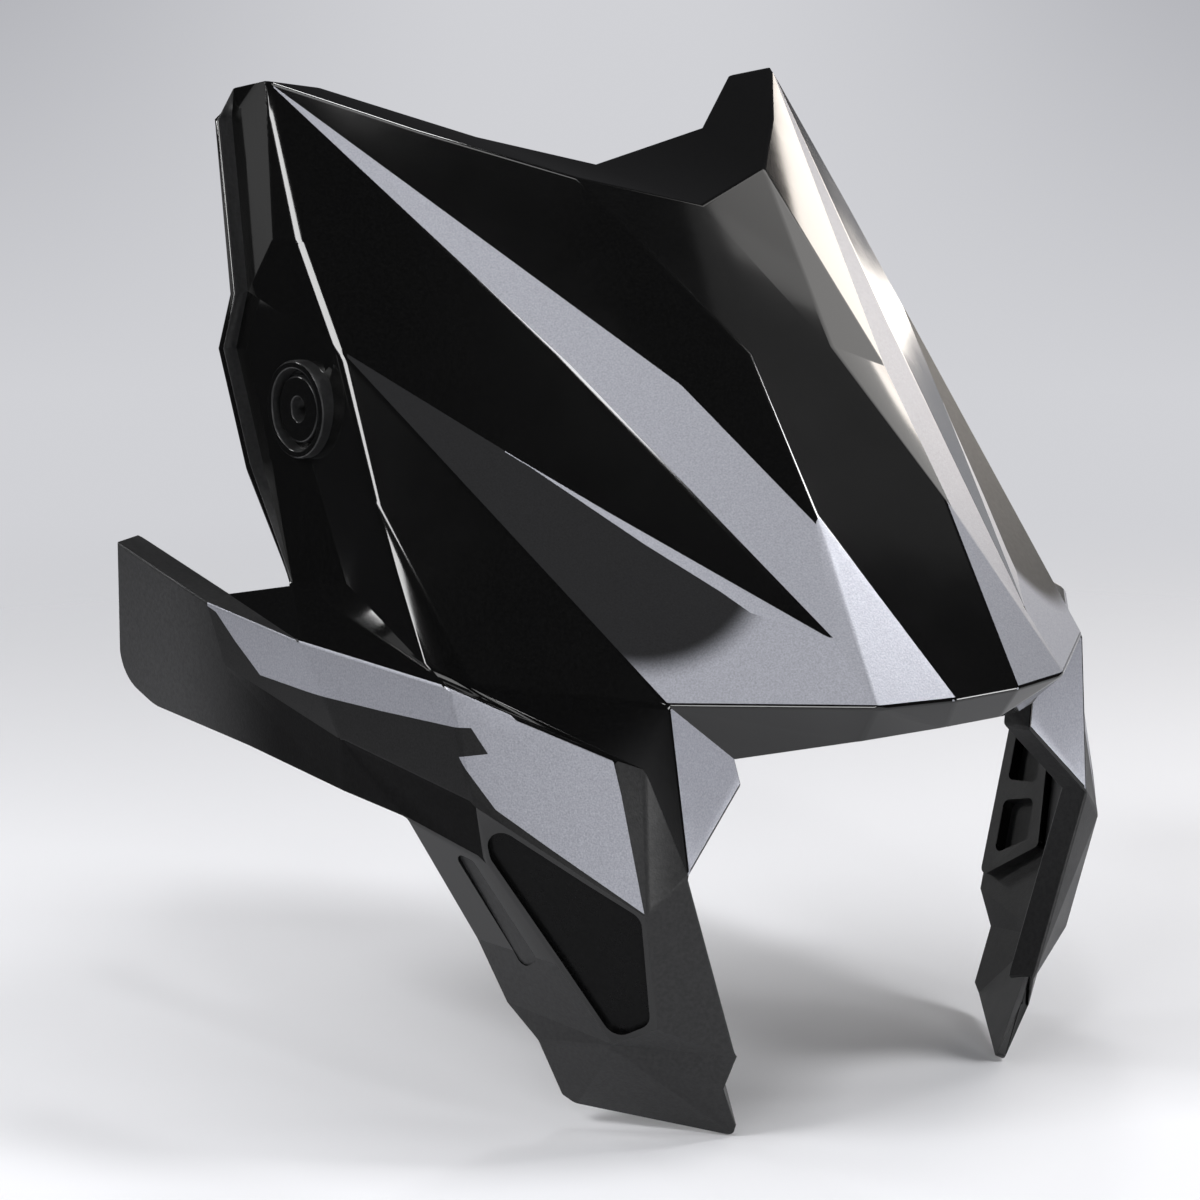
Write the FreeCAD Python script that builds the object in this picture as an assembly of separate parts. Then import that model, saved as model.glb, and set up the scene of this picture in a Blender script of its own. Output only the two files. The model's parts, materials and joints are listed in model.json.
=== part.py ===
import FreeCAD, Part
import math
import os
from FreeCAD import Vector

# Front cover panel of a motorbike: one moulded shell round a headlight opening.
# Millimetres. Front is -Y, up is +Z, and +X is to the right seen from the front.
# The shell is drawn as flat facets on one half, given an even wall and mirrored.

# Moulding
WALL = 3.0
RIM_LIP = 6.0
LEG_RETURN = 11.0
WING_RETURN = 10.0

# The corners stand on a grid of this step, counted from the main points below
GRID = 1.0

# Front panel: half widths, and places of its main points
DEPTH = 285.0
NOSE_Y = -209.0
NOSE_Z = -3.0
APEX_Y = -59.0
APEX_Z = 155.0
HORN_HALF = 123.0
HORN_Y = 41.0
HORN_Z = 200.0
BLADE_HALF = 31.0
BLADE_FOOT_HALF = 15.0
BROW_HALF = 100.0
BROW_DROP = 11.0

# Side wall
SIDE_HALF = 141.0
SIDE_FLARE = 7.0
SIDE_DEPTH = 18.0
CHANNEL_DEPTH = 4.0

# Wing
WING_ROOT_HALF = 150.0
WING_TIP_HALF = 171.0
WING_TIP_Z = 31.0
WING_TIP_HEIGHT = 50.0
WING_BULGE = 1.0
WING_TIP_ROUND = 16.0
WING_LOW_ROUND = 30.0

# Leg
LEG_HALF = 97.0
LEG_Y = -166.0
FOOT_HALF = 73.0
FOOT_Z = -160.0
TOE_ROUND = 3.0

# Screw seat in the side wall
SEAT_Y = -5.0
SEAT_Z = 86.0
SEAT_R = 14.5
SEAT_DEPTH = 5.0
DISC_R = 12.0
DISC_SINK = 1.5
HOLE_R = 4.25
BOSS_WALL = 3.0
BOSS_LENGTH = 9.0
SEAT_RAISE = 3.0
EDGE_ROUND = 0.8

# Pocket in the leg
POCKET_DEPTH = 2.0
POCKET_EDGE = 2.5
POCKET_CLEAR = 12.0
POCKET_ROUND = 6.0

# Leg's rear web: slot outside and a frame with two pockets inside, as fractions across and down it
SLOT = ((0.5, 0.78), (0.08, 0.9))
SLOT_DEPTH = 1.5
FRAME = ((0.1, 0.92), (0.02, 0.98))
FRAME_HEIGHT = 5.0
FRAME_POCKETS = [((0.26, 0.78), (0.12, 0.44)), ((0.26, 0.76), (0.56, 0.88))]
WEB_ROUND = 3.0

NODE = "front_cover"


def steps(base, across, back, up):
    """Point counted in grid steps from a main point."""
    return [base[0] + across * GRID, base[1] + back * GRID, base[2] + up * GRID]


def corners():
    """Corners of one half: distance from the mid plane, then y and z."""
    apex = (0, APEX_Y, APEX_Z)
    nose = (0, NOSE_Y, NOSE_Z)
    under = (0, NOSE_Y, NOSE_Z - BROW_DROP)
    horn = (HORN_HALF, HORN_Y, HORN_Z)
    blade = (BLADE_HALF, APEX_Y, APEX_Z)
    side = (SIDE_HALF, HORN_Y, HORN_Z)
    flare = (SIDE_HALF + SIDE_FLARE, HORN_Y, HORN_Z)
    rim = (SIDE_HALF, HORN_Y + SIDE_DEPTH, HORN_Z)
    channel = (SIDE_HALF - CHANNEL_DEPTH, HORN_Y, HORN_Z)
    leg = (LEG_HALF, LEG_Y, NOSE_Z)
    foot = (FOOT_HALF, LEG_Y, FOOT_Z)
    wing = (WING_ROOT_HALF, NOSE_Y, NOSE_Z)
    bulge = (WING_ROOT_HALF + WING_BULGE, NOSE_Y, NOSE_Z)
    tip = (WING_TIP_HALF, NOSE_Y + DEPTH, WING_TIP_Z)
    tip_foot = (WING_TIP_HALF, NOSE_Y + DEPTH, WING_TIP_Z - WING_TIP_HEIGHT)
    return {
        # blade on the mid plane
        "apex": steps(apex, 0, 0, 0),
        "ridge_up": steps(apex, 0, -49, -49),
        "ridge_mid": steps(apex, 0, -96, -99),
        "blade_up": steps(blade, -11, -49, -49),
        "blade_mid": steps(blade, 0, -96, -99),
        "blade_foot": [BLADE_FOOT_HALF, NOSE_Y, NOSE_Z],
        "nose": steps(nose, 0, 0, 0),
        # top edge, from the blade out to the horn
        "shelf": steps(apex, 45, 17, 11),
        "shoulder": steps(apex, 87, 59, 28),
        "horn": steps(horn, 0, 0, 0),
        # creases of the front field
        "sweep": steps(apex, 49, -45, -58),
        "fold_up": steps(apex, 80, -16, -47),
        "fold_low": steps(apex, 96, -38, -90),
        "fold_end": steps(nose, 46, 28, 20),
        "brow_mid": steps(nose, 45, 7, 0),
        "brow": [BROW_HALF, NOSE_Y + 50 * GRID, NOSE_Z + GRID],
        # crease between the front and the side wall
        "side_0": steps(side, -7, -37, -56),
        "side_1": steps(side, -4, -63, -91),
        "side_2": steps(side, 3, -93, -139),
        "side_3": steps(flare, 0, -127, -192),
        # rear rim of the side wall
        "horn_back": steps(horn, 2, 18, -3),
        "rim_0": steps(horn, 3, 18, -14),
        "rim_1": steps(rim, 1, -33, -75),
        "rim_2": steps(rim, 2, -26, -95),
        "rim_3": steps(rim, 4, -45, -135),
        "rim_4": steps(rim, 8, -68, -176),
        # channel of the side wall
        "valley_top": steps(channel, 0, -24, -56),
        "valley_mid": steps(channel, 3, -50, -132),
        "valley_end": steps(channel, 5, -74, -173),
        # shelf and the inner face of the horn
        "shelf_mid": steps(apex, 0, 62, 12),
        "shelf_back": steps(apex, 55, 64, 24),
        "horn_in": steps(horn, -23, 0, -3),
        # return under the brow
        "nose_in": steps(under, 0, 7, 0),
        "foot_in": [BLADE_FOOT_HALF - 2 * GRID, under[1] + 7 * GRID, under[2]],
        "brow_in": steps(under, 38, 22, -4),
        # leg, front edge of the headlight opening
        "gusset_up": steps(nose, 72, 48, -21),
        "gusset_low": steps(nose, 70, 46, -30),
        "leg_top": steps(leg, 0, 0, -57),
        "leg_step": steps(foot, 0, 2, 32),
        "leg_notch": steps(foot, 2, 6, 21),
        "foot_tip": steps(foot, -7, 10, 0),
        # leg, outer face
        "strip_top": steps(leg, 15, 21, -18),
        "strip_end": steps(leg, 8, 13, -21),
        "strip_mid": steps(leg, 13, 4, -69),
        "strip_low": steps(foot, 28, 12, 45),
        "back_0": steps(leg, 47, 53, -54),
        "back_1": steps(leg, 26, 39, -91),
        "back_2": steps(foot, 34, 28, 36),
        "web_1": steps(leg, 33, 76, -89),
        "web_2": steps(foot, 46, 72, 44),
        "web_3": steps(foot, 39, 61, 32),
        "heel_up": steps(foot, 30, 60, 11),
        "heel": steps(foot, 29, 55, 8),
        # wing
        "joint": steps(wing, -12, 105, 5),
        "wing_front": steps(wing, -17, 87, -6),
        "wing_root": steps(wing, 0, 106, 5),
        "wing_top": steps(wing, 13, 175, 12),
        "wing_end": steps(wing, 17, 228, 19),
        "wing_tip": steps(tip, 0, -3, 0),
        "tip_low": steps(tip_foot, -2, 0, 0),
        "wing_low_0": steps(tip_foot, -4, -21, -9),
        "wing_low_1": steps(wing, 12, 208, -31),
        "wing_low_2": steps(wing, 8, 158, -39),
        "wing_low_3": steps(wing, 2, 128, -44),
        "bulge_0": steps(bulge, 15, 219, -3),
        "bulge_1": steps(bulge, 9, 155, -20),
        "bulge_2": steps(bulge, -1, 95, -33),
        "bulge_3": steps(bulge, -26, 64, -58),
    }


# Three corners that set a flat facet, the corners drawn on to it, and the axis they move along.
ACROSS, BACK = range(2)
FLATS = [
    ("side_1 brow brow_mid", "fold_low fold_end", BACK),
    ("horn fold_end blade_mid", "fold_up sweep", BACK),
    ("horn side_1 fold_low", "side_0", BACK),
    ("brow side_1 side_2", "joint", ACROSS),
    ("brow joint leg_top", "strip_end", ACROSS),
    ("brow leg_top gusset_up", "gusset_low", BACK),
    ("wing_end wing_tip tip_low", "bulge_0 wing_low_0 wing_low_1", ACROSS),
    ("wing_root wing_top bulge_1", "bulge_2", ACROSS),
    ("wing_root wing_front bulge_2", "bulge_3", ACROSS),
    ("strip_top wing_front bulge_3", "strip_mid", BACK),
    ("strip_mid back_1 bulge_2", "back_0 back_2 strip_low", ACROSS),
    ("back_1 back_0 wing_low_3", "web_1", ACROSS),
    ("back_1 back_2 heel", "web_3 heel_up", ACROSS),
]

# Facets of one half, corners listed anticlockwise from outside on the -X half.
FACETS = {
    "blade": [
        "apex blade_up ridge_up", "ridge_up blade_up blade_mid ridge_mid",
        "ridge_mid blade_mid blade_foot nose",
    ],
    "field": ["blade_up apex shelf sweep blade_mid", "sweep shelf shoulder horn"],
    "swoosh": ["sweep horn fold_up fold_end blade_mid", "blade_mid fold_end brow_mid"],
    "chin": ["blade_mid brow_mid blade_foot"],
    "fold": ["fold_up horn side_0 side_1 fold_low", "fold_up fold_low fold_end"],
    "shade": ["fold_low side_1 brow", "fold_low brow brow_mid fold_end"],
    "cheek": ["brow side_1 side_2 joint", "brow joint strip_end leg_top"],
    "cheek_corner": ["side_2 side_3 joint"],
    "side": [
        "horn horn_back rim_0 valley_top", "horn valley_top side_0", "valley_top rim_0 rim_1",
        "side_0 valley_top rim_1 side_1", "side_1 rim_1 rim_2 rim_3 valley_mid side_2",
        "side_2 valley_mid valley_end side_3", "valley_mid rim_3 rim_4 valley_end", "valley_end rim_4 side_3",
    ],
    "top": [
        "shelf apex shelf_mid shelf_back", "shoulder shelf shelf_back horn_in",
        "horn shoulder horn_in horn_back",
    ],
    "brow_return": [
        "brow gusset_up brow_in brow_mid", "brow_mid brow_in foot_in blade_foot",
        "blade_foot foot_in nose_in nose",
    ],
    "gusset": ["brow leg_top gusset_low gusset_up"],
    "wing_ledge": [
        "joint wing_front strip_top strip_end", "side_3 wing_root wing_front joint",
        "rim_4 wing_top wing_root side_3",
    ],
    "wing_upper": [
        "bulge_3 strip_mid strip_top wing_front", "bulge_3 wing_front wing_root bulge_2",
        "wing_root wing_top bulge_1 bulge_2", "wing_top wing_end bulge_0 bulge_1",
    ],
    "wing_tip": ["bulge_0 wing_end wing_tip tip_low wing_low_0 wing_low_1"],
    "wing_lower": [
        "bulge_0 wing_low_1 wing_low_2 bulge_1", "bulge_1 wing_low_2 wing_low_3 back_0 bulge_2",
    ],
    "leg_face": ["back_1 back_2 strip_low strip_mid bulge_3 bulge_2 back_0"],
    "leg_strip": ["strip_mid strip_low leg_step leg_top", "strip_mid leg_top strip_end strip_top"],
    "leg_web": ["back_1 back_0 wing_low_3 web_1 web_2", "back_2 back_1 web_2 web_3 heel_up heel"],
    "foot": ["back_2 heel foot_tip leg_notch", "back_2 leg_notch leg_step strip_low"],
}

# Edges folded into a return
RIM_CHAIN = "rim_0 rim_1 rim_2 rim_3".split()
LEG_CHAIN = "gusset_up gusset_low leg_top leg_step".split()
WING_CHAIN = "wing_end wing_tip".split()


def flattened(pts):
    """Move corners along one axis on to the planes of their facets."""
    for three, names, axis in FLATS:
        a, b, c = [Vector(*pts[k]) for k in three.split()]
        n = normal(a, b, c)
        for name in names.split():
            gap = (a - Vector(*pts[name])).dot(n)
            pts[name][axis] += gap / n[axis]
    return pts


def half_skin():
    """All corners and facets of one half, the folded edges among them."""
    pts = flattened(corners())
    loops = [loop.split() for group in FACETS.values() for loop in group]
    for name in RIM_CHAIN:
        w, y, z = pts[name]
        pts[name + "_lip"] = (w + RIM_LIP, y, z)
    for name in LEG_CHAIN:
        w, y, z = pts[name]
        pts[name + "_in"] = (w - LEG_RETURN / 5, y + LEG_RETURN, z)
    for name in WING_CHAIN:
        w, y, z = pts[name]
        pts[name + "_in"] = (w - WING_RETURN, y, z + WING_RETURN / 5)
    for a, b in zip(RIM_CHAIN, RIM_CHAIN[1:]):
        loops.append([b, a, a + "_lip", b + "_lip"])
    for a, b in zip(LEG_CHAIN, LEG_CHAIN[1:]):
        loops.append([a, b, b + "_in", a + "_in"])
    loops.append(["rim_0", "horn_back", "rim_0_lip"])
    loops.append(["rim_4", "rim_3", "rim_3_lip"])
    loops.append(["wing_end_in", "wing_end", "wing_top", "rim_4"])
    loops.append(["wing_tip_in", "wing_tip", "wing_end", "wing_end_in"])
    return pts, loops


def triangles(loops):
    """Fan every facet from its first corner."""
    return [(f[0], f[i], f[i + 1]) for f in loops for i in range(1, len(f) - 1)]


def normal(a, b, c):
    n = (b - a).cross(c - a)
    return n.normalize()


def inward(normals):
    """Step that puts a corner one wall behind all the planes that meet in it."""
    rows = [[1e-2 if i == j else 0.0 for j in range(3)] for i in range(3)]
    pull = [0.0, 0.0, 0.0]
    for n in normals:
        for i in range(3):
            pull[i] -= WALL * n[i]
            for j in range(3):
                rows[i][j] += n[i] * n[j]
    m = FreeCAD.Matrix(*rows[0], 0, *rows[1], 0, *rows[2], 0, 0, 0, 0, 1)
    return m.inverse().multVec(Vector(*pull))


def moulded_shell(half, loops):
    """Closed solid between the outer facets and the same facets one wall behind."""
    outer = {}
    for name, (w, y, z) in half.items():
        outer[name, -1] = Vector(-w, y, z)
        outer[name, 1] = Vector(w, y, z)
    key = {k: (k[0], -1) if half[k[0]][0] == 0 else k for k in outer}
    tris = []
    for a, b, c in triangles(loops):
        tris.append((key[a, -1], key[b, -1], key[c, -1]))
        tris.append((key[a, 1], key[c, 1], key[b, 1]))
    planes = {}
    edges = {}
    for tri in tris:
        n = normal(*[outer[k] for k in tri])
        for i, k in enumerate(tri):
            seen = planes.setdefault(k, [])
            if all(n.getAngle(s) > math.radians(4) for s in seen):
                seen.append(n)
            edges[tri[i], tri[(i + 1) % 3]] = True
    inner = {k: outer[k] + inward(planes[k]) for k in planes}
    faces = []
    for a, b, c in tris:
        faces.append(flat([outer[a], outer[b], outer[c]]))
        faces.append(flat([inner[a], inner[c], inner[b]]))
    for a, b in edges:
        if (b, a) not in edges:
            faces.append(flat([outer[b], outer[a], inner[a]]))
            faces.append(flat([outer[b], inner[a], inner[b]]))
    shell = Part.makeShell(faces)
    shell.sewShape()
    solid = Part.Solid(shell)
    return solid if solid.Volume > 0 else Part.Solid(shell.reversed())


def flat(loop):
    return Part.Face(Part.makePolygon(loop + loop[:1]))


def prism(face, push, radius):
    """Outline pushed along a vector, with its upright edges rounded."""
    block = face.extrude(push)
    along = Vector(push).normalize()
    upright = [e for e in block.Edges if abs(e.tangentAt(e.FirstParameter).dot(along)) > 0.999]
    return block.makeFillet(radius, upright)


def pocket(pts):
    """Sunk field of the leg: the floor to add behind it and the hollow to cut."""
    loop = [pts[k] for k in "bulge_2 back_0 back_1 back_2 strip_low strip_mid".split()]
    n = normal(pts["strip_mid"], pts["back_1"], pts["strip_low"])
    inset = Part.makePolygon(loop + loop[:1]).makeOffset2D(-POCKET_EDGE, 2)
    hollow_face = Part.Face(inset)
    hollow_face.translate(n * POCKET_CLEAR)
    floor_face = flat([p - n * (WALL / 2) for p in loop])
    hollow = prism(hollow_face, n * (-POCKET_CLEAR - POCKET_DEPTH), POCKET_ROUND)
    floor = floor_face.extrude(n * (WALL / 2 - POCKET_DEPTH - WALL))
    return floor, hollow


def web_block(pts, place, top, bottom):
    """Rounded block on the leg's rear web, between two heights over it; placed by fractions of the web."""
    across, down = place
    a, b, c, d = [pts[k] for k in "back_0 wing_low_3 web_2 back_1".split()]
    n = normal(a, b, c)
    loop = []
    for u, v in [(0, 0), (0, 1), (1, 1), (1, 0)]:
        left = b + (c - b) * down[v]
        right = a + (d - a) * down[v]
        point = left + (right - left) * across[u]
        loop.append(point + n * (top - (point - a).dot(n)))
    return prism(flat(loop), n * (bottom - top), WEB_ROUND)


def corner_cut(pts, name, before, after, radius):
    """Cutter that rounds one corner of the shell's outline, seen square to its facet."""
    corner = pts[name]
    to_before = (pts[before] - corner).normalize()
    to_after = (pts[after] - corner).normalize()
    half = to_before.getAngle(to_after) / 2
    reach = radius / math.tan(half)
    middle = (to_before + to_after).normalize()
    start = corner + to_before * reach
    end = corner + to_after * reach
    centre = corner + middle * (radius / math.sin(half))
    arc = Part.Arc(start, centre - middle * radius, end).toShape()
    beyond = corner - middle * WALL
    wire = Part.Wire([arc, Part.makeLine(end, beyond), Part.makeLine(beyond, start)])
    n = to_before.cross(to_after).normalize()
    block = Part.Face(wire).extrude(n * (4 * WALL))
    block.translate(n * (-2 * WALL))
    return block


def screw_seat():
    """Turned seat: sunk disc with a through hole, inside a round recess with a raised rim."""
    rim_r = SEAT_R + BOSS_WALL
    profile = [
        (HOLE_R, DISC_SINK), (DISC_R, DISC_SINK), (DISC_R, SEAT_DEPTH), (SEAT_R, SEAT_DEPTH),
        (SEAT_R, 0), (rim_r, 0), (rim_r, BOSS_LENGTH), (HOLE_R, BOSS_LENGTH),
    ]
    seat = flat([Vector(d, r, 0) for r, d in profile]).revolve(Vector(), Vector(1, 0, 0), 360)
    lips = [(HOLE_R, DISC_SINK), (DISC_R, DISC_SINK), (SEAT_R, 0), (rim_r, 0)]
    edges = []
    for e in seat.Edges:
        if isinstance(e.Curve, Part.Circle):
            at = (e.Curve.Radius, e.Curve.Center.x)
            if any(abs(at[0] - r) < 1e-6 and abs(at[1] - d) < 1e-6 for r, d in lips):
                edges.append(e)
    seat = seat.makeFillet(EDGE_ROUND, edges)
    out = Vector(-1, 0, 0)
    plug = Part.makeCylinder(rim_r - EDGE_ROUND, 2 * BOSS_LENGTH, out * -BOSS_LENGTH, out)
    place = Vector(-SIDE_HALF - SEAT_RAISE, SEAT_Y, SEAT_Z)
    seat.translate(place)
    plug.translate(place)
    return seat, plug


def both(shape):
    """The shape and its mirror image across the mid plane."""
    return [shape, shape.mirror(Vector(), Vector(1, 0, 0))]


def front_cover():
    half, loops = half_skin()
    pts = {name: Vector(-w, y, z) for name, (w, y, z) in half.items()}
    floor, hollow = pocket(pts)
    seat, plug = screw_seat()
    cover = moulded_shell(half, loops).removeSplitter()
    cover = cover.fuse(both(floor) + both(web_block(pts, FRAME, -WALL / 2, -WALL - FRAME_HEIGHT)))
    cuts = both(hollow) + both(plug)
    cuts += both(corner_cut(pts, "tip_low", "wing_tip", "wing_low_0", WING_TIP_ROUND))
    cuts += both(corner_cut(pts, "wing_low_0", "tip_low", "wing_low_1", WING_LOW_ROUND))
    cuts += both(corner_cut(pts, "foot_tip", "heel", "leg_notch", TOE_ROUND))
    cuts += both(web_block(pts, SLOT, WALL, -SLOT_DEPTH))
    for place in FRAME_POCKETS:
        cuts += both(web_block(pts, place, -WALL, -WALL - 2 * FRAME_HEIGHT))
    cover = cover.cut(cuts).fuse(both(seat)).removeSplitter()
    cover = cover.Solids[0]
    box = cover.BoundBox
    cover.translate(Vector(0, -box.Center.y, -box.ZMin))
    return cover


os.makedirs("parts", exist_ok=True)
front_cover().exportStep("parts/" + NODE + ".step")
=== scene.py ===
import json
import math

import bmesh
import bpy
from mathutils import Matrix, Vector
from mathutils.bvhtree import BVHTree


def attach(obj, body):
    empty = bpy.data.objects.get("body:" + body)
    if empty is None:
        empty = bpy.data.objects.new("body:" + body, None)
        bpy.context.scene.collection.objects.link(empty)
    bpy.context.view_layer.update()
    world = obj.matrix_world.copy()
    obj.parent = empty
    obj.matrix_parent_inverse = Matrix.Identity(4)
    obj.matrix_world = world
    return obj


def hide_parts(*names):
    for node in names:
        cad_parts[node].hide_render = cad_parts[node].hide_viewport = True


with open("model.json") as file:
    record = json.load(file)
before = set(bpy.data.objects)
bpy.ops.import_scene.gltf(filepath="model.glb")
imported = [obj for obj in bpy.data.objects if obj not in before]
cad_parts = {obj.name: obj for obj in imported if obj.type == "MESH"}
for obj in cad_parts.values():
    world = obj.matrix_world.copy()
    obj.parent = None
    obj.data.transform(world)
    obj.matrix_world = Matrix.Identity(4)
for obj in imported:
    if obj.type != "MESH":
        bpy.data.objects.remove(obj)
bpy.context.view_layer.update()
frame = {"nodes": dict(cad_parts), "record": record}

NODE = "front_cover"

# Finishes, in the order of the shell's materials; the fading dark grey carries a painted reflection, and
# silver also paints a highlight
GLOSS, SILVER_AND_HIGHLIGHT, GRAPHITE_AND_REFLECTION, GRAPHITE, SATIN, TIP, DEEP, INSIDE = range(8)

# Camera, in metres in the part's frame
LENS_MM = 105.0
SENSOR_MM = 36.0
CAM_AZIMUTH = math.radians(39.2)
CAM_PITCH = math.radians(10.4)
CAM_DISTANCE = 1.35
AIM = Vector((0.0, 0.066666, 0.159592))

# Cleaning of the solid's mesh, of its facets and of the finished shell
CAD_MERGE = 2e-5
CAD_FLAT = math.radians(0.05)
FACET_FLAT = math.radians(0.6)
SHELL_MERGE = 4e-5
CUT_SLACK = 1e-6
# The larger facets set the shading at an edge
NORMAL_WEIGHT = 100

# Rounding of the creases, in metres
CREASE_WIDTH = 0.0012
SIDE_CREASE_WIDTH = 0.0026
CREASE_STEPS = 3
CREASE_MIN_ANGLE = math.radians(5.5)
CREASE_MIN_LENGTH = 0.008
CREASE_MIN_WIDTH = 0.00065
# Share of a facet's room that one rounding takes, and how much of it counts on a facet with many corners
ROOM_SHARE = 0.5
MANY_CORNERS = 6
MANY_SHARE = 0.45
# Folds that aren't rounded are sharp from the small angle on, or beside strips of the solid's own fillets
# from the large one on
FILLET_ROOM = 0.0015
FLAT_ANGLE = math.radians(3.0)
SHARP_ANGLE = math.radians(25.0)
# Middle of the crease that stays sharp, on the -X half
KEPT_SHARP = (-0.0400, -0.0631, 0.2361)
KEPT_REACH = 0.003

# The side crease lies between a side wall and a front facet, by the parts of their normals, above a height
SIDE_MIN_X = 0.9
FRONT_MAX_X = 0.75
FRONT_MAX_Y = -0.3
FRONT_MIN_Z = 0.25
SIDE_CREASE_Z = 0.2

# Screw seat: nothing is rounded within its reach, and its walls look less sideways than its floor
SEAT = Vector(next(m["pos_m"] for m in frame["record"]["mounts"] if m["name"] == "fixing_left"))
SEAT_REACH = 0.024
SEAT_ANGLE = math.radians(4.0)
SEAT_WALL_X = 0.8
SEAT_FLAT_RATIO = 10.0

# Direction that the visible skin of the +X half looks in
OUTWARD = (0.6, -0.7, 0.45)
# A rounding stays painted up to this angle from its painted facet
PAINT_TURN = math.radians(12.0)
# Largest distance from a field's point to its facet
POINT_GAP = 0.0015
# One point on each facet that isn't gloss black, on the -X half
FIELD_POINTS = {
    SILVER_AND_HIGHLIGHT: [
        (-0.084, 0.021, 0.295), (-0.041, -0.113, 0.183), (-0.030, -0.122, 0.176), (-0.089, -0.096, 0.128),
    ],
    # Facets of dark grey paint whose far part is a painted reflection
    GRAPHITE_AND_REFLECTION: [(-0.111, -0.026, 0.217), (-0.080, -0.086, 0.180)],
    GRAPHITE: [
        (-0.115, -0.083, 0.108), (-0.135, -0.057, 0.137), (-0.158, 0.003, 0.156), (-0.165, 0.065, 0.166),
        (-0.123, -0.071, 0.129), (-0.141, -0.054, 0.128), (-0.153, -0.024, 0.141), (-0.163, 0.041, 0.153),
    ],
    TIP: [
        (-0.168, 0.101, 0.173), (-0.169, 0.120, 0.162), (-0.162, 0.053, 0.132), (-0.161, 0.035, 0.136),
        (-0.157, 0.005, 0.122), (-0.152, -0.016, 0.117), (-0.151, -0.027, 0.121),
    ],
    DEEP: [(-0.109, -0.079, 0.066)],
    SATIN: [
        (-0.162, 0.068, 0.174), (-0.166, 0.122, 0.186), (-0.094, -0.093, 0.055), (-0.093, -0.097, 0.073),
        (-0.104, -0.093, 0.108), (-0.109, -0.086, 0.121), (-0.139, -0.040, 0.094), (-0.124, -0.037, 0.059),
        (-0.116, -0.053, 0.048), (-0.113, -0.046, 0.037), (-0.109, -0.050, 0.026), (-0.092, -0.068, 0.014),
        (-0.083, -0.085, 0.019), (-0.085, -0.087, 0.029), (-0.094, -0.085, 0.037), (-0.133, 0.115, 0.325),
        (-0.144, 0.095, 0.278), (-0.146, 0.093, 0.251), (-0.148, 0.073, 0.211), (-0.128, 0.126, 0.349),
        (-0.070, -0.091, 0.130), (-0.087, -0.094, 0.109), (-0.080, -0.094, 0.054),
    ],
}
# Outline of the light field on the wing, as (y, z)
WING_FIELD = [
    (0.1012, 0.1804), (0.0931, 0.1767), (0.0803, 0.1726), (0.0699, 0.1634), (0.0564, 0.1530),
    (0.0295, 0.1510), (-0.0060, 0.1494), (-0.0436, 0.1484), (-0.0488, 0.1399), (-0.0416, 0.1386),
    (-0.0532, 0.1215), (-0.0940, 0.0865), (-0.0780, 0.1386), (-0.0600, 0.1700), (0.0300, 0.1900),
]
# Outline of the painted highlight, a light sliver along the upper edge of the shaded facet, as (x, z), x
# away from the mid plane
SLIVER_HIGHLIGHT = [
    (0.1063, 0.2351), (0.1017, 0.2304), (0.0823, 0.2063), (0.0689, 0.1916), (0.0641, 0.1852),
    (0.0555, 0.1816), (0.0464, 0.1767), (0.0464, 0.1900), (0.1000, 0.2500),
]

# The shaded facet's paint is dark grey within a distance of this line, x away from the mid plane; away from
# it the facet is painted light grey, a painted reflection
SHADE_FROM = Vector((0.1394, 0.0426, 0.2682))
SHADE_TO = Vector((0.0849, -0.0590, 0.2029))
SHADE_REACH = 0.0436
SHADE_SOFT = 0.006
# The wing's satin grey turns black between these depths
TIP_BLACK_Y = 0.045
TIP_GREY_Y = 0.115

# Noise levels between which a mottled tone goes from its low to its high value
MOTTLE = (0.3, 0.7)
# How much bluer a cool grey is, in its green and blue
COOL = (0.02, 0.14)
# Scales of the mottling of lacquer, paint and plastic, per metre
LACQUER_MOTTLE = 900.0
FLAKE = 1600.0
GRAIN = 700.0
# Surfaces: spread of the roughness, scales of sheen and grain, and the grain's detail, strength and height
LACQUER = {"vary": 0.025, "sheen": 45.0, "grain": 60.0, "detail": 1.0, "strength": 0.015, "height": 0.001}
PAINT = {"vary": 0.05, "sheen": 500.0, "grain": 1400.0, "detail": 2.0, "strength": 0.12, "height": 0.0003}
PLASTIC = {**PAINT, "vary": 0.06, "sheen": 120.0, "grain": 1500.0, "strength": 0.15, "height": 0.0004}

# Room that lights the part, and the wall that the camera sees, pale in its middle and darkened to the sides
# by painted shade
ROOM_TONE = (0.035, 0.035, 0.037)
WALL_PALE = (0.635, 0.64, 0.67)
WALL_SHADED = (0.43, 0.435, 0.465)
# The wall's reach in reflections, as the cosine from straight ahead, and its height
WALL_AHEAD = (0.55, 0.85)
WALL_HEIGHT = 0.10
# Where painted shade dims the wall to the sides, and between which heights
WALL_SIDES = (0.02, 0.20)
WALL_RISE = (-0.12, 0.0)

# Floor, in metres
FLOOR_RADIUS = 3.0
FLOOR_CORNERS = 96
FLOOR_Z = -0.0005
FLOOR_TONE = (0.84, 0.845, 0.875, 1)
FLOOR_ROUGH = 0.7
FLOOR_FADE = (0.30, 1.35)

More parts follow.
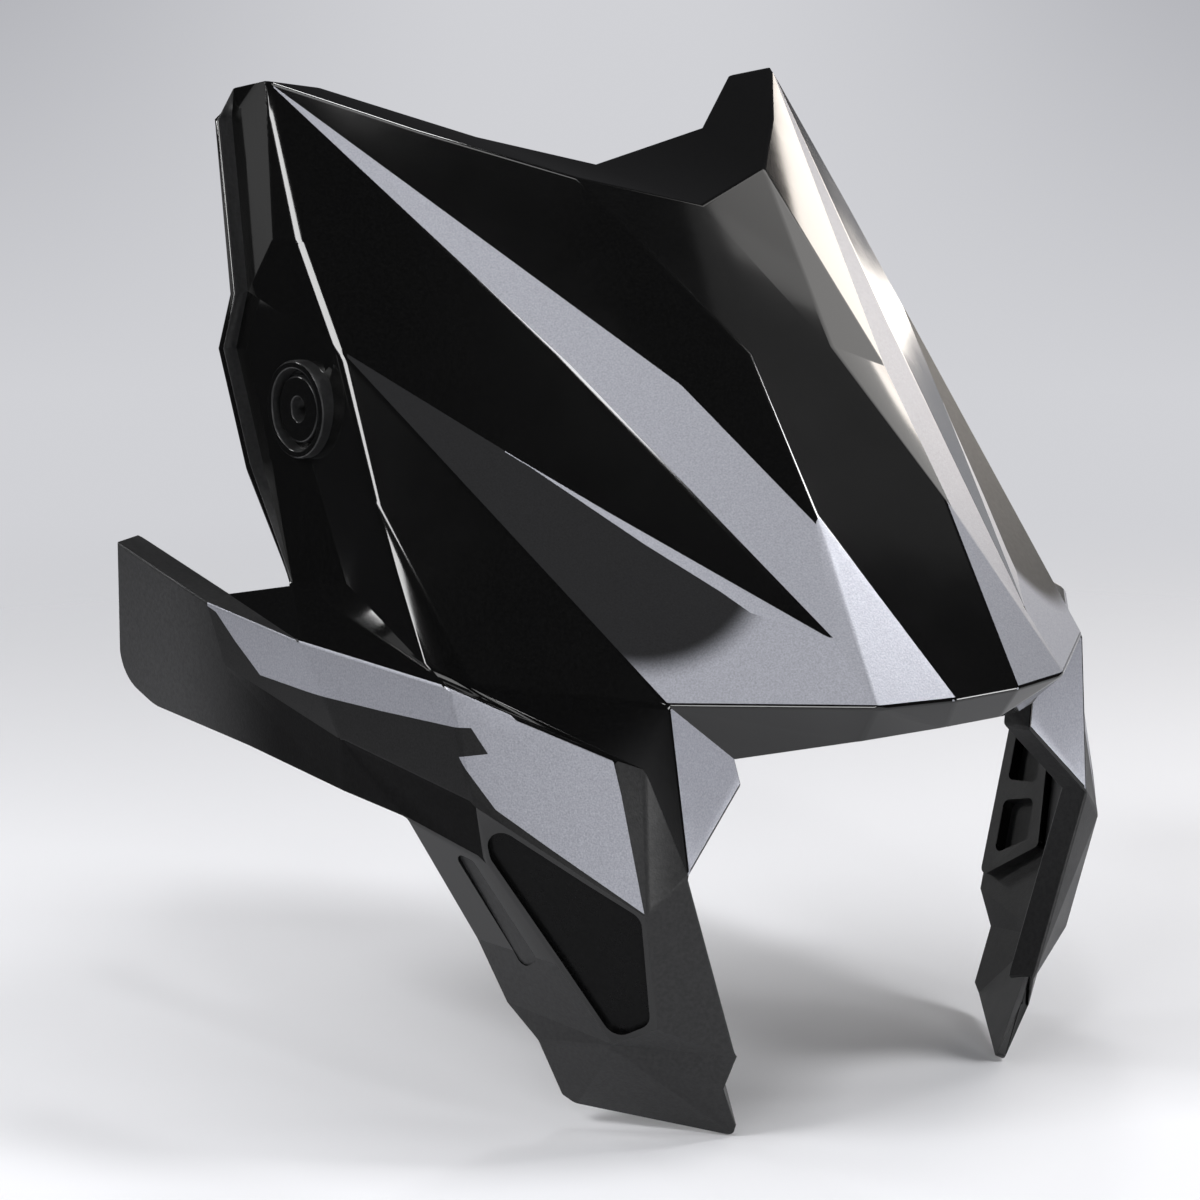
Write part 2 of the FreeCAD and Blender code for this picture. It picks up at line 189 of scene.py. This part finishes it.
# Lamps, which look at one point: azimuth from the front and elevation in degrees, distance and size in
# metres, radiance and colour
LAMP_AIM = Vector((0, 0, 0.18))
WHITE = (1.0, 1.0, 1.0)
LAMPS = {
    "lamp_top": (0, 89.9, 1.8, (0.7, 0.7), 3, WHITE),
    "lamp_front": (-25, 10, 2.2, (0.9, 0.7), 10, WHITE),
    "lamp_low": (41, 3, 1.6, (0.4, 0.4), 14, WHITE),
    "lamp_crease": (-40, 63, 1.6, (0.16, 0.16), 22, WHITE),
    "lamp_ridge": (51, 54, 1.6, (0.34, 0.34), 30, WHITE),
    "lamp_left": (-97, 36, 1.6, (0.62, 0.5), 15, WHITE),
    "lamp_edge": (-141, 25, 1.6, (0.18, 0.18), 20, WHITE),
    "lamp_rear": (-177, 16, 1.6, (0.2, 0.2), 15, WHITE),
    "lamp_back": (138, 58, 1.6, (0.2, 0.2), 18, WHITE),
    "lamp_wing": (-56, 33, 1.6, (0.16, 0.16), 14, WHITE),
    "lamp_side": (-146, 12, 1.6, (0.6, 0.3), 0.5, WHITE),
    "lamp_blade": (77, 47, 1.6, (0.4, 0.4), 0.2, WHITE),
    "lamp_right": (98, 33, 1.6, (0.6, 1.1), 1.2, (1.0, 0.98, 0.96)),
    "lamp_warm": (115, 11, 1.6, (0.5, 0.4), 4, (1.0, 0.92, 0.84)),
}


def shader(name):
    material = bpy.data.materials.new(name)
    material.use_nodes = True
    tree = material.node_tree
    return material, tree, tree.nodes["Principled BSDF"]


def noise(tree, scale, detail=2.0):
    """Noise in the part's own metres."""
    where = tree.nodes.new("ShaderNodeTexCoord")
    grain = tree.nodes.new("ShaderNodeTexNoise")
    grain.inputs["Scale"].default_value = scale
    grain.inputs["Detail"].default_value = detail
    tree.links.new(where.outputs["Object"], grain.inputs["Vector"])
    return grain.outputs["Fac"]


def axis(tree, name, output="Object"):
    """One axis of a coordinate: of a place in the part's own metres, or of a direction in the world."""
    where = tree.nodes.new("ShaderNodeTexCoord")
    split = tree.nodes.new("ShaderNodeSeparateXYZ")
    tree.links.new(where.outputs[output], split.inputs["Vector"])
    return split.outputs[name]


def spread(tree, source, low, high, from_low=0.0, from_high=1.0, soft=False):
    """Value that goes from low to high as the source does between its own two values."""
    node = tree.nodes.new("ShaderNodeMapRange")
    node.interpolation_type = "SMOOTHSTEP" if soft else "LINEAR"
    node.inputs["From Min"].default_value = from_low
    node.inputs["From Max"].default_value = from_high
    node.inputs["To Min"].default_value = low
    node.inputs["To Max"].default_value = high
    tree.links.new(source, node.inputs["Value"])
    return node.outputs["Result"]


def rise(tree, source, start, end):
    """Soft step from 0 to 1."""
    return spread(tree, source, 0.0, 1.0, start, end, soft=True)


def connect(tree, value, socket):
    """Set a socket to a link's source or to plain numbers."""
    if isinstance(value, bpy.types.NodeSocket):
        tree.links.new(value, socket)
    elif value is not None:
        socket.default_value = value


def vector(tree, operation, first, second=None):
    node = tree.nodes.new("ShaderNodeVectorMath")
    node.operation = operation
    connect(tree, first, node.inputs[0])
    connect(tree, second, node.inputs[1])
    return node.outputs["Value" if operation in ("LENGTH", "DOT_PRODUCT") else "Vector"]


def number(tree, operation, first, second=None):
    node = tree.nodes.new("ShaderNodeMath")
    node.operation = operation
    connect(tree, first, node.inputs[0])
    connect(tree, second, node.inputs[1])
    return node.outputs["Value"]


def blend(tree, factor, first, second):
    """Mix of two colours, each a socket or three numbers."""
    node = tree.nodes.new("ShaderNodeMix")
    node.data_type = "RGBA"
    tree.links.new(factor, node.inputs["Factor"])
    for name, value in (("A", first), ("B", second)):
        connect(tree, value if isinstance(value, bpy.types.NodeSocket) else (*value, 1.0), node.inputs[name])
    return node.outputs["Result"]


def bump(tree, source, strength, distance):
    node = tree.nodes.new("ShaderNodeBump")
    node.inputs["Strength"].default_value = strength
    node.inputs["Distance"].default_value = distance
    tree.links.new(source, node.inputs["Height"])
    return node.outputs["Normal"]


def grey(value, cool):
    return (value, value * (1 + COOL[0] * cool), value * (1 + COOL[1] * cool))


def mottled(tree, scale, low, high, cool, detail=2.0):
    """Grey that wanders between two values."""
    node = tree.nodes.new("ShaderNodeValToRGB")
    for element, place, value in zip(node.color_ramp.elements, MOTTLE, (low, high)):
        element.position = place
        element.color = (*grey(value, cool), 1.0)
    tree.links.new(noise(tree, scale, detail), node.inputs["Fac"])
    return node.outputs["Color"]


def flaked(tree, low, high, cool=1.0):
    return mottled(tree, FLAKE, low, high, cool, detail=3.0)


def grained(tree, low, high):
    return mottled(tree, GRAIN, low, high, cool=0.3)


def texture(tree, bsdf, rough, kind):
    """Uneven roughness and a fine relief."""
    sheen = spread(tree, noise(tree, kind["sheen"]), rough - kind["vary"], rough + kind["vary"])
    tree.links.new(sheen, bsdf.inputs["Roughness"])
    relief = bump(tree, noise(tree, kind["grain"], kind["detail"]), kind["strength"], kind["height"])
    tree.links.new(relief, bsdf.inputs["Normal"])


def lacquer_black(low, high, rough, ior):
    """Gloss black lacquer: deep base and a faint waviness."""
    material, tree, bsdf = shader("lacquer_black")
    tree.links.new(mottled(tree, LACQUER_MOTTLE, low, high, cool=0.0), bsdf.inputs["Base Color"])
    texture(tree, bsdf, rough, LACQUER)
    bsdf.inputs["IOR"].default_value = ior
    return material


def metallic_paint(name, low, high, rough, metal, shine, cool=1.0):
    """Grey paint with a fine flake."""
    material, tree, bsdf = shader(name)
    tree.links.new(flaked(tree, low, high, cool), bsdf.inputs["Base Color"])
    texture(tree, bsdf, rough, PAINT)
    bsdf.inputs["Metallic"].default_value = metal
    bsdf.inputs["Specular IOR Level"].default_value = shine
    return material


def shade_gap(tree):
    """Distance from the line that the dark grey paint lies along, the same on both halves."""
    point = tree.nodes.new("ShaderNodeCombineXYZ")
    tree.links.new(number(tree, "ABSOLUTE", axis(tree, "X")), point.inputs["X"])
    for name in "YZ":
        tree.links.new(axis(tree, name), point.inputs[name])
    run = SHADE_TO - SHADE_FROM
    offset = vector(tree, "SUBTRACT", point.outputs["Vector"], SHADE_FROM)
    share = vector(tree, "DOT_PRODUCT", offset, run / run.length_squared)
    step = tree.nodes.new("ShaderNodeVectorMath")
    step.operation = "SCALE"
    step.inputs[0].default_value = run
    tree.links.new(spread(tree, share, 0.0, 1.0), step.inputs["Scale"])
    return vector(tree, "LENGTH", vector(tree, "SUBTRACT", offset, step.outputs["Vector"]))


def graphite_with_painted_reflection(low, high, reflection_low, reflection_high, rough, shine):
    """Dark grey paint along a line; away from it a light grey painted reflection."""
    material, tree, bsdf = shader("graphite_and_painted_reflection")
    fade = rise(tree, shade_gap(tree), SHADE_REACH - SHADE_SOFT, SHADE_REACH + SHADE_SOFT)
    # The light grey away from the line is a painted reflection
    tone = blend(tree, fade, flaked(tree, low, high), flaked(tree, reflection_low, reflection_high))
    tree.links.new(tone, bsdf.inputs["Base Color"])
    texture(tree, bsdf, rough, PAINT)
    bsdf.inputs["Specular IOR Level"].default_value = shine
    return material


def moulded_black(name, low, high, rough, shine=0.5):
    """Satin moulded plastic with a fine grain."""
    material, tree, bsdf = shader(name)
    tree.links.new(grained(tree, low, high), bsdf.inputs["Base Color"])
    texture(tree, bsdf, rough, PLASTIC)
    bsdf.inputs["Specular IOR Level"].default_value = shine
    return material


def fading_satin(black_low, black_high, low, high, rough, black_shine, shine):
    """Satin plastic of the wing's end: dark grey at the tip, black towards the front."""
    material, tree, bsdf = shader("wing_satin")
    fade = rise(tree, axis(tree, "Y"), TIP_BLACK_Y, TIP_GREY_Y)
    tone = blend(tree, fade, grained(tree, black_low, black_high), grained(tree, low, high))
    tree.links.new(tone, bsdf.inputs["Base Color"])
    tree.links.new(spread(tree, fade, black_shine, shine), bsdf.inputs["Specular IOR Level"])
    texture(tree, bsdf, rough, PLASTIC)
    return material


def mirrored(p):
    return (-p[0], p[1], p[2])


def outside(face):
    """True on the visible skin: it looks forward, up or away from the mid plane."""
    right = face.calc_center_median().x > 0
    return face.normal.dot(Vector(OUTWARD if right else mirrored(OUTWARD))) > 0


def near_seat(point):
    return math.hypot(point.y - SEAT.y, point.z - SEAT.z) < SEAT_REACH


def paint_facets(bm):
    """Give each facet its finish."""
    for f in bm.faces:
        f.material_index = GLOSS if outside(f) else INSIDE
    tree = BVHTree.FromBMesh(bm)
    bm.faces.ensure_lookup_table()
    for finish, points in FIELD_POINTS.items():
        for point in points + [mirrored(p) for p in points]:
            index, gap = tree.find_nearest(Vector(point))[2:]
            if gap < POINT_GAP:
                bm.faces[index].material_index = finish
    for f in bm.faces:
        seat = near_seat(f.calc_center_median()) and abs(f.normal.x) < SEAT_WALL_X
        if seat and f.material_index == GLOSS:
            f.material_index = SATIN


def painted_facets():
    """The solid's mesh as flat, painted facets."""
    bm = bmesh.new()
    bm.from_mesh(frame["nodes"][NODE].data)
    bmesh.ops.remove_doubles(bm, verts=bm.verts, dist=CAD_MERGE)
    bmesh.ops.dissolve_limit(bm, angle_limit=CAD_FLAT, verts=bm.verts, edges=bm.edges)
    bm.normal_update()
    paint_facets(bm)
    bmesh.ops.dissolve_limit(
        bm, angle_limit=FACET_FLAT, verts=bm.verts, edges=bm.edges, delimit={"MATERIAL"})
    bm.normal_update()
    return bm


def room(edge):
    """Width of the narrower facet at an edge if it is long, or half its width if it is compact."""
    widths = []
    for f in edge.link_faces:
        width = 2 * f.calc_area() / f.calc_perimeter()
        widths.append(width * MANY_SHARE if len(f.verts) > MANY_CORNERS else width)
    return min(widths)


def on_side_crease(edge):
    """True on the long crease between the mask's front and its side wall."""
    front, side = sorted((f.normal for f in edge.link_faces), key=lambda n: abs(n.x))
    fronted = abs(front.x) < FRONT_MAX_X and front.y < FRONT_MAX_Y and front.z > FRONT_MIN_Z
    return fronted and abs(side.x) > SIDE_MIN_X and min(v.co.z for v in edge.verts) > SIDE_CREASE_Z


def crease_width(edge):
    """Width of a rounding that the two facets have room for."""
    most = SIDE_CREASE_WIDTH if on_side_crease(edge) else CREASE_WIDTH
    return min(most, ROOM_SHARE * room(edge))


def kept_sharp(edge):
    middle = (edge.verts[0].co + edge.verts[1].co) / 2
    places = [Vector(KEPT_SHARP), Vector(mirrored(KEPT_SHARP))]
    return min((middle - p).length for p in places) < KEPT_REACH


def at_seat(edge):
    """True on the screw seat, whose small rounds are in the solid."""
    return all(near_seat(v.co) for v in edge.verts)


def seat_smooth(edge, angle):
    """True between the strips of the seat's rounds, and not where one meets a flat facet."""
    small, large = sorted(f.calc_area() for f in edge.link_faces)
    return angle < SHARP_ANGLE and (angle < SEAT_ANGLE or large < SEAT_FLAT_RATIO * small)


def is_crease(edge, angle):
    """True on a visible fold that is large enough to round."""
    seen = any(f.material_index != INSIDE for f in edge.link_faces)
    large = angle > CREASE_MIN_ANGLE and edge.calc_length() > CREASE_MIN_LENGTH
    return seen and edge.is_convex and large and crease_width(edge) > CREASE_MIN_WIDTH


def mark_creases(bm):
    """Weigh the visible creases for rounding and keep the other folds sharp."""
    weight = bm.edges.layers.float.new("bevel_weight_edge")
    for e in bm.edges:
        if len(e.link_faces) != 2:
            continue
        angle = e.calc_face_angle(0.0)
        kept = kept_sharp(e)
        if at_seat(e):
            e.smooth = seat_smooth(e, angle)
        elif is_crease(e, angle) and not kept:
            e[weight] = crease_width(e) / SIDE_CREASE_WIDTH
        else:
            e.smooth = angle < (FLAT_ANGLE if kept or room(e) > FILLET_ROOM else SHARP_ANGLE)


def bevel_creases(bm):
    """Round the weighed creases."""
    mesh = bpy.data.meshes.new("crease_work")
    bm.to_mesh(mesh)
    work = bpy.data.objects.new("crease_work", mesh)
    bpy.context.scene.collection.objects.link(work)
    bevel = work.modifiers.new("bevel", "BEVEL")
    bevel.limit_method = "WEIGHT"
    bevel.offset_type = "OFFSET"
    bevel.width = SIDE_CREASE_WIDTH
    bevel.segments = CREASE_STEPS
    bevel.use_clamp_overlap = False
    made = bpy.data.meshes.new_from_object(work.evaluated_get(bpy.context.evaluated_depsgraph_get()))
    bm.clear()
    bm.from_mesh(made)
    bpy.data.objects.remove(work)
    bpy.data.meshes.remove(mesh)
    bpy.data.meshes.remove(made)
    bm.normal_update()


def round_creases(bm):
    """Round the visible creases; a rounding is black where it turns away from a painted facet."""
    mark_creases(bm)
    planes = [(f.material_index, f.normal.copy()) for f in bm.faces]
    bevel_creases(bm)
    for f in bm.faces:
        if f.material_index in (SILVER_AND_HIGHLIGHT, GRAPHITE_AND_REFLECTION):
            near = max(n.dot(f.normal) for finish, n in planes if finish == f.material_index)
            if near < math.cos(PAINT_TURN):
                f.material_index = GLOSS


def inside_outline(u, v, outline):
    hit = False
    for (ua, va), (ub, vb) in zip(outline, outline[1:] + outline[:1]):
        if (va > v) != (vb > v) and u < ua + (v - va) * (ub - ua) / (vb - va):
            hit = not hit
    return hit


def across_wing(point, depth, sign):
    """Point of the wing field's outline, in the part's frame."""
    return Vector((depth, point[0], point[1]))


def across_front(point, depth, sign):
    """Point of the painted highlight's outline, in the part's frame."""
    return Vector((sign * point[0], depth, point[1]))


def cut_field(bm, finish, sign, outline, place):
    """Divide the facets of one finish and half along an outline."""
    sideways = place((0, 0), 1.0, sign) - place((0, 0), 0.0, sign)
    for one, two in zip(outline, outline[1:] + outline[:1]):
        start = place(one, 0.0, sign)
        run = place(two, 0.0, sign) - start
        along = run.normalized()
        geom = set()
        for f in bm.faces:
            if f.material_index != finish or f.calc_center_median().x * sign < 0:
                continue
            spans = [(v.co - start).dot(along) for v in f.verts]
            if min(spans) < run.length and max(spans) > 0:
                geom.add(f)
                geom.update(f.edges)
                geom.update(f.verts)
        bmesh.ops.bisect_plane(
            bm, geom=list(geom), dist=CUT_SLACK, plane_co=start, plane_no=along.cross(sideways))


def clean(bm):
    """Take out what the rounding and the cuts left: doubled corners, empty strips, corners in mid edge."""
    bmesh.ops.remove_doubles(bm, verts=bm.verts, dist=SHELL_MERGE)
    bmesh.ops.dissolve_degenerate(bm, edges=bm.edges, dist=SHELL_MERGE)
    bmesh.ops.dissolve_verts(bm, verts=[v for v in bm.verts if len(v.link_edges) == 2])
    bm.normal_update()


def paint_fields_and_highlight(bm):
    """Paint what lies inside the outlines silver: the wing's light field, and the sliver, a painted
    highlight.
    """
    for f in bm.faces:
        c = f.calc_center_median()
        on_wing = f.material_index == GRAPHITE and inside_outline(c.y, c.z, WING_FIELD)
        # Painted highlight: the sliver along the shaded facet's upper edge
        on_highlight = f.material_index == GRAPHITE_AND_REFLECTION and inside_outline(abs(c.x), c.z, SLIVER_HIGHLIGHT)
        if on_wing or on_highlight:
            f.material_index = SILVER_AND_HIGHLIGHT


def shell_mesh():
    bm = painted_facets()
    round_creases(bm)
    for sign in (-1, 1):
        cut_field(bm, GRAPHITE, sign, WING_FIELD, across_wing)
        # The sliver along the shaded facet is a painted highlight
        cut_field(bm, GRAPHITE_AND_REFLECTION, sign, SLIVER_HIGHLIGHT, across_front)
    clean(bm)
    paint_fields_and_highlight(bm)
    for f in bm.faces:
        f.smooth = True
    mesh = bpy.data.meshes.new("cover_shell")
    bm.to_mesh(mesh)
    bm.free()
    return mesh


def dressed_shell(materials):
    mesh = shell_mesh()
    for m in materials:
        mesh.materials.append(m)
    piece = bpy.data.objects.new("cover_shell", mesh)
    bpy.context.scene.collection.objects.link(piece)
    weights = piece.modifiers.new("weights", "WEIGHTED_NORMAL")
    weights.weight = NORMAL_WEIGHT
    weights.keep_sharp = True
    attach(piece, "root")
    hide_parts(NODE)


def soft_box(name, azimuth, elevation, distance, size, radiance, colour):
    """Area lamp that looks at the part. Azimuth 0 is in front of it, 90 on its +X side."""
    a, e = math.radians(azimuth), math.radians(elevation)
    way = Vector((math.sin(a) * math.cos(e), -math.cos(a) * math.cos(e), math.sin(e)))
    lamp = bpy.data.lights.new(name, "AREA")
    lamp.shape = "RECTANGLE"
    lamp.size, lamp.size_y = size
    lamp.energy = radiance * math.pi * size[0] * size[1]
    lamp.color = colour
    holder = bpy.data.objects.new(name, lamp)
    holder.location = LAMP_AIM + way * distance
    holder.rotation_mode = "QUATERNION"
    holder.rotation_quaternion = (-way).to_track_quat("-Z", "Y")
    bpy.context.scene.collection.objects.link(holder)


def backdrop():
    """Pale studio wall behind the part, with painted shade to its sides, and dark room elsewhere."""
    world = bpy.data.worlds.new("studio")
    world.use_nodes = True
    bpy.context.scene.world = world
    tree = world.node_tree
    way = tree.nodes.new("ShaderNodeTexCoord").outputs["Generated"]
    height = axis(tree, "Z", "Generated")
    path = tree.nodes.new("ShaderNodeLightPath").outputs
    ahead = (math.sin(CAM_AZIMUTH), math.cos(CAM_AZIMUTH), 0.0)
    wide = rise(tree, vector(tree, "DOT_PRODUCT", way, ahead), *WALL_AHEAD)
    low = spread(tree, height, 1.0, 0.0, 0.0, WALL_HEIGHT, soft=True)
    mirror = number(tree, "ADD", path["Is Glossy Ray"], path["Is Transmission Ray"])
    mirror = number(tree, "MULTIPLY", mirror, number(tree, "MULTIPLY", wide, low))
    seen = number(tree, "ADD", path["Is Camera Ray"], mirror)
    across = (math.cos(CAM_AZIMUTH), -math.sin(CAM_AZIMUTH), 0.0)
    aside = number(tree, "ABSOLUTE", vector(tree, "DOT_PRODUCT", way, across))
    edge = rise(tree, aside, *WALL_SIDES)
    upper = spread(tree, height, 0.0, 1.0, *WALL_RISE)
    # Painted shade: the wall darkens towards its sides
    wall = blend(tree, number(tree, "MULTIPLY", edge, upper), WALL_PALE, WALL_SHADED)
    tree.links.new(blend(tree, seen, ROOM_TONE, wall), tree.nodes["Background"].inputs["Color"])


def studio_floor():
    """Pale floor that fades into the backdrop."""
    mesh = bpy.data.meshes.new("floor")
    bm = bmesh.new()
    bmesh.ops.create_circle(bm, cap_ends=True, segments=FLOOR_CORNERS, radius=FLOOR_RADIUS)
    bm.to_mesh(mesh)
    bm.free()
    floor = bpy.data.objects.new("floor", mesh)
    floor.location = (0, 0, FLOOR_Z)
    bpy.context.scene.collection.objects.link(floor)
    material, tree, bsdf = shader("pale_floor")
    bsdf.inputs["Roughness"].default_value = FLOOR_ROUGH
    bsdf.inputs["Base Color"].default_value = FLOOR_TONE
    clear = tree.nodes.new("ShaderNodeBsdfTransparent")
    both = tree.nodes.new("ShaderNodeMixShader")
    where = tree.nodes.new("ShaderNodeTexCoord")
    far = vector(tree, "LENGTH", where.outputs["Object"])
    tree.links.new(rise(tree, far, *FLOOR_FADE), both.inputs["Fac"])
    tree.links.new(bsdf.outputs["BSDF"], both.inputs[1])
    tree.links.new(clear.outputs["BSDF"], both.inputs[2])
    tree.links.new(both.outputs["Shader"], tree.nodes["Material Output"].inputs["Surface"])
    mesh.materials.append(material)


def camera():
    way = Vector((
        math.sin(CAM_AZIMUTH) * math.cos(CAM_PITCH),
        math.cos(CAM_AZIMUTH) * math.cos(CAM_PITCH),
        -math.sin(CAM_PITCH),
    ))
    data = bpy.data.cameras.new("view")
    data.lens = LENS_MM
    data.sensor_width = SENSOR_MM
    holder = bpy.data.objects.new("view", data)
    holder.location = AIM - way * CAM_DISTANCE
    holder.rotation_mode = "QUATERNION"
    holder.rotation_quaternion = way.to_track_quat("-Z", "Y")
    bpy.context.scene.collection.objects.link(holder)
    bpy.context.scene.camera = holder


dressed_shell([
    lacquer_black(low=0.0015, high=0.003, rough=0.085, ior=1.5),
    # Silver paint, which also makes the painted highlight along the shaded facet
    metallic_paint("silver_paint_and_highlight", low=0.25, high=0.34, rough=0.42, metal=0.5, shine=0.5),
    # Dark grey paint, light grey where a reflection is painted on it
    graphite_with_painted_reflection(low=0.005, high=0.009, reflection_low=0.22, reflection_high=0.31, rough=0.5, shine=0.15),
    metallic_paint("graphite_paint", low=0.006, high=0.012, rough=0.45, metal=0.0, shine=0.18, cool=0.3),
    moulded_black("satin_black", low=0.010, high=0.018, rough=0.42, shine=0.3),
    fading_satin(
        black_low=0.002, black_high=0.004, low=0.020, high=0.032, rough=0.42, black_shine=0.05, shine=0.35),
    moulded_black("deep_black", low=0.002, high=0.0035, rough=0.28, shine=0.08),
    moulded_black("inside_black", low=0.008, high=0.014, rough=0.5),
])
bpy.context.scene.view_settings.view_transform = "Standard"
backdrop()
studio_floor()
for name, settings in LAMPS.items():
    soft_box(name, *settings)
camera()
